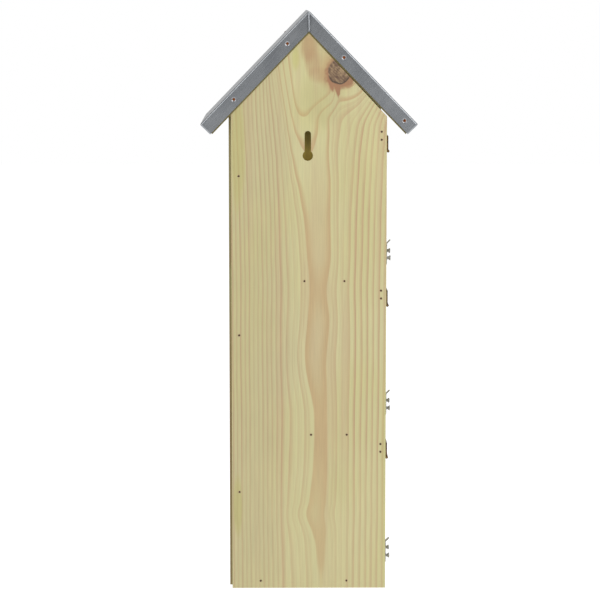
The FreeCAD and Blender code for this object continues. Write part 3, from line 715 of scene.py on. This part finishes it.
# %% Floors and roof boards
FLOOR_PITHS = (
    [(0.0, -12.0, 24.0), (135.0, -6.0, 21.0)],
    [(0.0, 3.0, 24.0), (135.0, 6.0, 21.0)],
    [(0.0, 18.0, 24.0), (135.0, 18.0, 21.0)],
)
FLOOR_SEEDS = (83.0, 89.0, 95.0)
ROOF_PITH = [(-100.0, 6.0, 30.0), (100.0, -4.0, 26.0)]
ROOF_BOARDS = {"roof_board_panel_side": (55.0, 98.0), "roof_board_flap_side": (-55.0, 96.0)}
ROOF_WOOD_TOP = 500.0
ROOF_END = (92.4, 93.1)


def shaded_roof_ends(u, v, w):
    """The ends of the roof boards, painted dark olive as shade; they show as a dark line under the lips."""
    return abs(w).rise(*ROOF_END) * 0.85


for node, pith, seed in zip(FLOOR_NAIL_X, FLOOR_PITHS, FLOOR_SEEDS):
    pine_of_node[node] = pine(
        "pine_" + node, ("X", 0.0), ("-Z", -high_mm(node).z), ("Y", INNER_FRONT), pith, seed
    )
for node, (middle, seed) in ROOF_BOARDS.items():
    pine_of_node[node] = pine(
        "pine_" + node, ("X", middle), ("-Z", -ROOF_WOOD_TOP), ("Y", 0.0), ROOF_PITH, seed,
        shade_masks=[(shaded_roof_ends, OLIVE_SHADE_AND_WEAR)],
    )

# %% [markdown]
# ## Sheet metal
# Galvanised sheet is zinc on steel: blue-grey, half dull, with soft clouds and fine rolling scratches. Where
# a nail was driven through a lip the sheet is dished and a little rust has run. The dish could be pressed
# into the mesh, but it is under a millimetre deep, so it is a bump that depends on the distance from the
# nearest nail, and the nails' places are worked out first, down each slope.

# %% Places of the roof nails
PITCH = math.radians(46.0)
RIDGE = 586.6
LIP = 14.2
LIP_FACE = 95.0
HALF_SPAN = 109.1
SLOPE = HALF_SPAN / math.cos(PITCH)
LIP_NAILS = {1: (38.4, SLOPE - 41.7), -1: (57.5, SLOPE - 12.3)}
TOP_NAIL = 33.0
TOP_NAIL_Y = 12.0 - LIP_FACE


def on_slope(side, down, depth):
    """X and Z at a distance down a slope from the ridge, and a depth square to it; side is +1 or -1."""
    x = side * (down * math.cos(PITCH) - depth * math.sin(PITCH))
    z = RIDGE - down * math.sin(PITCH) - depth * math.cos(PITCH)
    return x, z


roof_nails = []
for side, downs in LIP_NAILS.items():
    for down in downs:
        x, z = on_slope(side, down, LIP / 2)
        roof_nails += [((x, LIP_FACE, z), (0, 1, 0)), ((x, -LIP_FACE, z), (0, -1, 0))]
    x, z = on_slope(side, TOP_NAIL, 0.0)
    roof_nails.append(((x, TOP_NAIL_Y, z), (side * math.sin(PITCH), 0, math.cos(PITCH))))
print(len(roof_nails), "roof nails")

# %% Galvanised sheet
ZINC_DARK = srgb(140, 144, 149)
ZINC_PALE = srgb(170, 173, 176)
RUST = srgb(140, 80, 38)
SHEET_ROUGH = 0.27
SHEET_BUMP = 0.6
DISH_DEPTH = 0.75
SHEET_BRIGHTNESS = 0.92
# painted highlight: the seam bead is the same sheet made brighter
SEAM_HIGHLIGHT_BRIGHTNESS = 1.25


def galvanised(name, brightness):
    """Soft clouds of two greys, rolling scratches, a dish round each nail, and painted shade beside the ridge
    seam.
    """
    metal = Finish(name)
    cloud = metal.noise(metal.place, 0.03, 3.0, 0.55)
    grit = metal.noise(metal.place, 0.6, 2.0)
    rolled = metal.at(metal.x * 0.5 + metal.z * 0.42, metal.y * 0.9, metal.z * 0.03 - metal.x * 0.03)
    scratch = metal.noise(rolled, 1.0, 4.0, 0.7)
    near = metal.nearest([place for place, _ in roof_nails])
    rust = (near + grit * 2.0).fall(1.2, 2.1)
    shade = (0.5 + cloud * 0.9 + grit * 0.35 + scratch * 0.3).rise(0.0, 1.0)
    colour = metal.mix(shade, ZINC_DARK, ZINC_PALE)
    colour = metal.mix(rust * 0.4, colour, RUST)
    # painted shade: the sheet is darkened in the creases either side of the ridge seam
    seam_side_shade = abs(metal.x).rise(0.7, 1.2) * abs(metal.x).fall(1.4, 2.6) * abs(metal.y).rise(94.4, 94.8)
    colour = metal.tint(colour, brightness - seam_side_shade * 0.3)
    height = near.rise(0.9, 2.6) * DISH_DEPTH + cloud * 0.1
    rough = SHEET_ROUGH + cloud * 0.06 + scratch * 0.08 + rust * 0.3
    return metal.paint(colour, rough, height, SHEET_BUMP, metallic=1.0 - rust * 0.6)


sheet_metal = galvanised("galvanised_sheet", SHEET_BRIGHTNESS)
# painted highlight: a brighter copy of the galvanised sheet for the seam bead
seam_highlight_metal = galvanised("rubbed_seam", SEAM_HIGHLIGHT_BRIGHTNESS)

# %% [markdown]
# ## Hardware
# Hinges of this kind are thin plated steel with a brown brass colour that dulls in the corners. Hooks and
# screws are zinc under a dull skin. Roof nails rust. Each could have a recipe of its own, but they differ
# only in two colours, the size of the mottling, the roughness and how much bare metal shows.


# %% Plated metals
def plated(name, dull, bright, scale, rough, seed, shine=1.0):
    """Two colours of one metal, mottled by noise, with fine scratches in the roughness.

    shine is how much of it is bare metal; the rest is a dull skin of plating.
    """
    metal = Finish(name, Metallic=shine)
    mottle = metal.noise(metal.at(metal.x + seed, metal.y, metal.z), scale, 4.0, 0.65)
    fine = metal.noise(metal.place, scale * 5.0, 2.0)
    colour = metal.mix((0.5 + mottle * 1.8).rise(0.1, 0.9), dull, bright)
    return metal.paint(colour, rough + mottle * 0.3 + fine * 0.1, mottle * 0.2 + fine * 0.1, 0.2)


brass = plated("brown_brass", srgb(42, 27, 15), srgb(124, 84, 40), 0.5, 0.36, 3.0)
pin_metal = plated("hinge_pin", srgb(96, 74, 48), srgb(170, 140, 92), 0.8, 0.32, 7.0)
hinge_nail_metal = plated("hinge_nail_plating", srgb(82, 54, 34), srgb(150, 106, 62), 0.9, 0.38, 13.0)
zinc = plated("bright_zinc", srgb(116, 116, 112), srgb(190, 188, 178), 0.45, 0.3, 17.0, 0.6)
screw_metal = plated("yellow_zinc", srgb(128, 129, 130), srgb(206, 205, 200), 0.6, 0.26, 19.0, 0.5)
roof_nail_metal = plated("rusty_roof_nail", srgb(84, 44, 22), srgb(150, 88, 46), 0.9, 0.55, 37.0)

# %% [markdown]
# ## Nails in the boards
# These nails were punched just under the face, and the fibres closed over them, so that only a small dark
# hole shows. A hole could be cut into each head. Painting the head by its distance from the nail's middle
# gives the same at this size: iron inside, fibres outside.

# %% Punched nails
NAIL_IRON = srgb(62, 40, 22)


def punched(name):
    """Iron within a ragged hole about each nail's middle, crushed fibres from there to the rim."""
    nail = Finish(name)
    near = nail.nearest([(x, face, z) for x, z in board_nails for face in (REAR, FRONT)])
    ragged = nail.noise(nail.place, 0.9, 3.0, 0.6)
    fibre = nail.noise(nail.at(nail.x * 1.3, nail.y, nail.z * 0.2))
    closed = (near + ragged * 1.3).rise(0.85, 1.2) * near.fall(2.0, 2.4)
    colour = nail.mix(closed * (0.85 + fibre * 0.4), NAIL_IRON, BAND_WOOD)
    return nail.paint(colour, 0.85 + fibre * 0.2, closed * 0.3, 0.4)


nail_metal = punched("punched_nail")

# %% [markdown]
# ## Which finish goes where
# The frame's record names a material for every piece. Each piece could be dressed by hand, but a table is
# shorter: boards have a finish each, found by the piece's name, and all others share one for their material.

# %% Finishes onto the nodes
finish_of_slot = {
    "galvanised_sheet": sheet_metal,
    "nail": nail_metal,
    "brass_hinge": brass,
    "hinge_pin": pin_metal,
    "hinge_nail": hinge_nail_metal,
    "screw": screw_metal,
    "zinc_hook": zinc,
}
for part in RECORD["subparts"]:
    node = part["node"]
    NODES[node].data.materials.clear()
    NODES[node].data.materials.append(pine_of_node.get(node) or finish_of_slot[part["material_slot"]])
print("finishes on", len(RECORD["subparts"]), "nodes")

# %% [markdown]
# ## Meshes from arrays
# Blender's own balls and tubes could be moved into place and joined, but a small formula says more exactly
# what a piece is. So every added piece is a grid of points worked out with numpy as whole arrays: rows by
# columns, each point an (x, y, z). Joining neighbours in both directions gives four-sided faces, and joining
# the last column to the first closes it round. Rows that shrink to one point are merged, which closes the
# ends.

# %% Grid to mesh
MERGE_METRES = 1e-6


def grid_faces(rows, columns):
    """Four corners per face: (row, column), (row, next), (next row, next), (next row, column)."""
    row = np.arange(rows - 1)[:, None] * columns
    column = np.arange(columns)[None, :]
    following = (column + 1) % columns
    corners = [row + column, row + following, row + columns + following, row + columns + column]
    return np.stack(corners, axis=-1).reshape(-1, 4)


def mesh_piece(name, grids, body, material, node=None):
    """One object from several grids of shape (rows, columns, 3), in millimetres, riding on a body."""
    points = []
    faces = []
    start = 0
    for grid in grids:
        rows, columns = grid.shape[:2]
        points.append(grid.reshape(-1, 3) * MM)
        faces.append(grid_faces(rows, columns) + start)
        start += rows * columns
    mesh = bpy.data.meshes.new(name)
    mesh.from_pydata(np.concatenate(points).tolist(), [], np.concatenate(faces).tolist())
    shell = bmesh.new()
    shell.from_mesh(mesh)
    bmesh.ops.remove_doubles(shell, verts=shell.verts, dist=MERGE_METRES)
    bmesh.ops.recalc_face_normals(shell, faces=shell.faces)
    shell.to_mesh(mesh)
    shell.free()
    mesh.polygons.foreach_set("use_smooth", np.ones(len(mesh.polygons), bool))
    mesh.materials.append(material)
    piece = bpy.data.objects.new(name, mesh)
    bpy.context.scene.collection.objects.link(piece)
    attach(piece, body)
    if node:
        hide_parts(node)
    print(name, len(mesh.vertices), "points,", len(mesh.polygons), "faces")


# %% Turned shapes
FULL_TURN = 2 * math.pi
QUARTER = math.pi / 2
SLANT = (0.3, 0.5, 0.8)


def round_angles(columns):
    """Angles evenly round a circle, without repeating the first."""
    return np.linspace(0, FULL_TURN, columns, endpoint=False)


def turned(profile, place, axis, columns=32):
    """A profile of (radius, height) turned about an axis: place + radius (cos a, sin a) + height along it."""
    along = np.array(axis, float)
    beside = np.cross(along, SLANT)
    beside /= np.linalg.norm(beside)
    third = np.cross(along, beside)
    angle = round_angles(columns)
    ring = np.cos(angle)[:, None] * beside + np.sin(angle)[:, None] * third
    radius, height = np.array(profile, float).T
    return np.array(place) + radius[:, None, None] * ring + (height[:, None] * along)[:, None, :]


def domed_nail(head, cap, shank, length, steps=7):
    """Profile of a nail: a quarter ellipse from the crown to the rim, then in to the shank and to its tip."""
    turn = np.linspace(0, QUARTER, steps)
    crown = list(zip(head * np.sin(turn), cap * np.cos(turn)))
    return crown + [(shank, 0.0), (shank, 2 * shank - length), (0.0, -length)]


# %% [markdown]
# ## Nails in the roof
# Roof nails have a small crown that sheds water. The frame has flat discs, which is enough for a collision
# model. A squashed ball would do for a crown seen from afar. Turning a quarter ellipse gives crown, rim and
# shank in one closed piece, with the same head, shank and length.

# %% Roof nails
ROOF_NAIL_HEAD = 1.4
ROOF_NAIL_CAP = 0.5
ROOF_NAIL_SHANK = 0.9
LIP_NAIL_LENGTH = 24.6
TOP_NAIL_LENGTH = 13.6
crowns = []
for place, axis in roof_nails:
    length = LIP_NAIL_LENGTH if axis[1] else TOP_NAIL_LENGTH
    crowns.append(turned(domed_nail(ROOF_NAIL_HEAD, ROOF_NAIL_CAP, ROOF_NAIL_SHANK, length), place, axis))
mesh_piece("roof_nail_crowns", crowns, "box", roof_nail_metal, "roof_nails")

# %% [markdown]
# ## Seam at the ridge
# The lips of the two slopes meet at the ridge in a mitre, where the sheet is pinched into a bead. It could be
# a bevelled curve, but an ellipse carried down the mitre with a swelling and a slight bend is closer to a
# pinched seam. Half of it is sunk in the lip.

# %% Seam bead
SEAM_HALF_WIDTH = 1.0
SEAM_PROUD = 0.46
SEAM_BEND = 0.35
SEAM_TOP = RIDGE - 2.2
SEAM_FOOT = RIDGE - LIP / math.cos(PITCH) + 0.4


def seam(face, rows=40, columns=20):
    """An ellipse across the seam, its size a root of sine along it, its middle a slow S."""
    share = np.linspace(0, 1, rows)[:, None]
    angle = round_angles(columns)[None, :]
    swell = np.sqrt(np.sin(math.pi * share))
    x = SEAM_BEND * np.sin(FULL_TURN * share) + SEAM_HALF_WIDTH * swell * np.cos(angle)
    y = math.copysign(LIP_FACE, face) + SEAM_PROUD * swell * np.sin(angle)
    z = SEAM_TOP + (SEAM_FOOT - SEAM_TOP) * share + 0 * angle
    return np.stack([x, y, z], axis=-1)


mesh_piece("ridge_seams", [seam(1), seam(-1)], "box", seam_highlight_metal)

# %% [markdown]
# ## Screws
# The hooks turn on screws with a cross slot, and catch on the same. A slot could be cut out with a boolean.
# Here the head's top is a disc of points whose height dips wherever the place is inside one of the two slots.

# %% Cross-slotted screws
SCREW_HEAD = 2.8
SCREW_RADIUS = 1.5
SCREW_RIM = 0.8
SCREW_CONE = 1.8
SCREW_POINT = 3.0
SCREW_DOME = 0.7
SLOT_HALF_WIDTH = 0.45
SLOT_REACH = 1.7
SLOT_DEPTH = 0.9
SLOT_SIDE = 0.08
SLOT_END = 0.1
HEAD_ROWS = np.concatenate([np.linspace(0, 1.9, 26), np.linspace(2.0, SCREW_HEAD, 8)])


def step_down(values, edge, soft):
    """1 well below the edge, 0 well above it, straight between."""
    return np.clip((edge + soft - values) / (2 * soft), 0, 1)


def screw(top, length, columns=96):
    """A head whose top is dished by a cross, then rim, cone, shank and point; it is driven towards +X."""
    x0, y0, z0 = top
    angle = round_angles(columns)[None, :]
    radius = HEAD_ROWS[:, None]
    offsets = (np.abs(radius * np.cos(angle)), np.abs(radius * np.sin(angle)))
    slot = np.maximum(*(step_down(offset, SLOT_HALF_WIDTH, SLOT_SIDE) for offset in offsets))
    slot = slot * step_down(radius, SLOT_REACH, SLOT_END) * SLOT_DEPTH * (1.25 - 0.5 * radius / SLOT_REACH)
    sunk = SCREW_DOME * (radius / SCREW_HEAD) ** 2 + slot
    body = np.array([
        (SCREW_HEAD, SCREW_RIM),
        (SCREW_RADIUS, SCREW_RIM + SCREW_CONE),
        (SCREW_RADIUS, length - SCREW_POINT),
        (0.0, length),
    ])
    radius = np.concatenate([radius * np.ones_like(angle), body[:, :1] * np.ones_like(angle)])
    sunk = np.concatenate([sunk, body[:, 1:] * np.ones_like(angle)])
    return np.stack([x0 + sunk, y0 + radius * np.cos(angle), z0 + radius * np.sin(angle)], axis=-1)


# %% Screws at their places
pivots = {joint["name"]: np.array(joint["pos_m"]) / MM for joint in RECORD["behaviour"]["joints"]}
screw_top = low_mm("lower_catch_screw").x
screw_length = high_mm("lower_catch_screw").x - screw_top
pivot_heads = []
for word in STOREYS:
    low, high = low_mm(word + "_catch_screw"), high_mm(word + "_catch_screw")
    middle = (low + high) / 2
    mesh_piece(
        word + "_catch_screw_slotted", [screw((low.x, middle.y, middle.z), screw_length)], word + "_flap",
        screw_metal, word + "_catch_screw",
    )
    _, y, z = pivots[word + "_hook_pivot"]
    pivot_heads.append(screw((screw_top, y, z), screw_length))
mesh_piece("hook_pivot_screws_slotted", pivot_heads, "box", screw_metal, "hook_pivot_screws")

# %% [markdown]
# ## Rolled rims
# The leaf on a rail is stamped from thin plate, and its edge is rolled over so that it is stiff and has no
# burr. The rim could be a bevel on the leaf; carrying an ellipse round a rectangle with rounded corners
# leaves the leaf as it is.

# %% Rims of the rail leaves
LEAF = 0.9
RIM_HALF_WIDTH = 0.6
RIM_PROUD = 0.9
RIM_CORNER = 1.6
RIM_FOOT = 1.0
ENDS = ("rear", "front")


def rim(face, low, high, steps=8, columns=12):
    """Four quarter circles at the corners, joined by straight lines; an ellipse is carried round them."""
    corner = np.repeat(np.arange(4), steps)
    turn = np.tile(np.linspace(0, QUARTER, steps), 4) + corner * QUARTER
    middle_y = np.where(corner % 3 == 0, high[0] - RIM_CORNER, low[0] + RIM_CORNER)
    middle_z = np.where(corner < 2, high[1] - RIM_CORNER, low[1] + RIM_CORNER)
    turn, middle_y, middle_z = (np.append(row, row[0])[:, None] for row in (turn, middle_y, middle_z))
    angle = round_angles(columns)[None, :]
    reach = RIM_CORNER + RIM_HALF_WIDTH * (np.cos(angle) - 1)
    x = face - RIM_PROUD * np.sin(angle) + 0 * turn
    return np.stack([x, middle_y + reach * np.cos(turn), middle_z + reach * np.sin(turn)], axis=-1)


rims = []
for word in STOREYS:
    pin_z = pivots[word + "_flap_hinge"][2]
    for end in ENDS:
        low, high = (corner(f"{word}_{end}_hinge_rail_leaf") for corner in (low_mm, high_mm))
        rims.append(rim(low_mm(word + "_rail").x - LEAF, (low.y, pin_z + RIM_FOOT), (high.y, high.z)))
mesh_piece("rail_leaf_rims", rims, "box", brass)

# %% [markdown]
# ## Hinge nails
# Each leaf is held by two small nails with round heads, set slantwise so that they don't split the wood. The
# frame's flat heads would do for a collision model; these are turned like the roof nails, so that each head
# catches a small light. Those on the rails are one piece, and each flap's are a piece that rides on it.

# %% Hinge nails
LEAF_NAIL = domed_nail(head=1.5, cap=0.7, shank=0.7, length=5.4)
LEAF_NAIL_COLUMNS = 24
NAIL_SPREAD = 7.0
RAIL_NAIL_RISES = (6.0, 12.5)
FLAP_NAIL_REACHES = (6.0, 10.0)
rail_nails = []
for word in STOREYS:
    pin_x, _, pin_z = pivots[word + "_flap_hinge"]
    leaf_face = low_mm(word + "_rail").x - LEAF
    leaf_top = high_mm(word + "_flap").z + LEAF
    flap_nails = []
    for end in ENDS:
        leaf = f"{word}_{end}_hinge_rail_leaf"
        middle = (low_mm(leaf).y + high_mm(leaf).y) / 2
        for sign, rise, reach in zip((-1, 1), RAIL_NAIL_RISES, FLAP_NAIL_REACHES):
            y = middle + sign * NAIL_SPREAD
            on_rail = (leaf_face, y, pin_z + rise)
            on_flap = (pin_x + reach, y, leaf_top)
            rail_nails.append(turned(LEAF_NAIL, on_rail, (-1, 0, 0), LEAF_NAIL_COLUMNS))
            flap_nails.append(turned(LEAF_NAIL, on_flap, (0, 0, 1), LEAF_NAIL_COLUMNS))
    mesh_piece(
        word + "_flap_nail_crowns", flap_nails, word + "_flap",
        hinge_nail_metal, word + "_flap_nails",
    )
mesh_piece("hinge_rail_nail_crowns", rail_nails, "box", hinge_nail_metal, "hinge_rail_nails")

# %% [markdown]
# ## Floor and light
# The studio has a white floor that glows a little so that it stays white, a bright backdrop behind the box, a
# dimmer room to the sides, two soft boxes beside the camera and a third one on the entrance side. An even
# white room would be simpler, but bent metal needs the differences: a fold that sees room, lamp and floor in
# turn shows a dark line and a bright one.

# %% Floor
FLOOR_REACH = 6.0
FLOOR_HEIGHT = -0.0005
FLOOR_GREY = (0.4, 0.4, 0.4, 1.0)
FLOOR_GLOW = 0.86
WHITE = (1.0, 1.0, 1.0, 1.0)
floor_mesh = bpy.data.meshes.new("studio_floor")
corners = np.array([(-1, -1, 0), (1, -1, 0), (1, 1, 0), (-1, 1, 0)], float) * FLOOR_REACH
corners[:, 2] = FLOOR_HEIGHT
floor_mesh.from_pydata(corners.tolist(), [], [(0, 1, 2, 3)])
studio_floor = bpy.data.objects.new("studio_floor", floor_mesh)
bpy.context.scene.collection.objects.link(studio_floor)
white = bpy.data.materials.new("studio_white")
white.use_nodes = True
white_sockets = white.node_tree.nodes["Principled BSDF"].inputs
white_sockets["Base Color"].default_value = FLOOR_GREY
white_sockets["Roughness"].default_value = 1.0
white_sockets["Specular IOR Level"].default_value = 0.0
white_sockets["Emission Color"].default_value = WHITE
white_sockets["Emission Strength"].default_value = FLOOR_GLOW
floor_mesh.materials.append(white)
print("floor", 2 * FLOOR_REACH, "m wide")

# %% Room
ROOM_GLOW = 0.2
BACKDROP_GLOW = 0.46
CAMERA_SIDE_GLOW = 0.12
CEILING_GLOW = 0.4
sky = bpy.data.worlds.new("studio_room")
sky.use_nodes = True
direction = Wire(sky.node_tree).node("ShaderNodeTexCoord", output="Generated")
_, towards_camera, upwards = direction.split()
glow = ROOM_GLOW + (-towards_camera).rise(0.5, 0.98) * BACKDROP_GLOW
glow = glow + towards_camera.rise(0.3, 0.9) * CAMERA_SIDE_GLOW + upwards.rise(0.5, 1.0) * CEILING_GLOW
seen = direction.node("ShaderNodeLightPath", output="Is Camera Ray")
background = sky.node_tree.nodes["Background"]
background.inputs["Color"].default_value = WHITE
sky.node_tree.links.new(glow.math("MAXIMUM", seen).socket, background.inputs["Strength"])
bpy.context.scene.world = sky
print("room with", len(sky.node_tree.nodes), "nodes")

# %% Lamps
LAMP_AIM = (0.0, 0.05, 0.35)
FRONT_LAMP_AIM = (0.0, 0.0, 0.3)


def soft_box(name, place, target, size, power):
    """A square area lamp aimed at a target."""
    data = bpy.data.lights.new(name, "AREA")
    data.shape = "SQUARE"
    data.size = size
    data.energy = power
    lamp = bpy.data.objects.new(name, data)
    lamp.location = place
    lamp.rotation_euler = aimed(place, target)
    bpy.context.scene.collection.objects.link(lamp)
    print("lamp", name, power, "W")


soft_box("right_lamp", (-1.25, 1.85, 1.45), LAMP_AIM, 1.5, 23.0)
soft_box("left_lamp", (1.25, 1.85, 1.45), LAMP_AIM, 1.5, 16.0)
soft_box("front_lamp", (0.0, -1.3, 2.4), FRONT_LAMP_AIM, 2.2, 17.0)
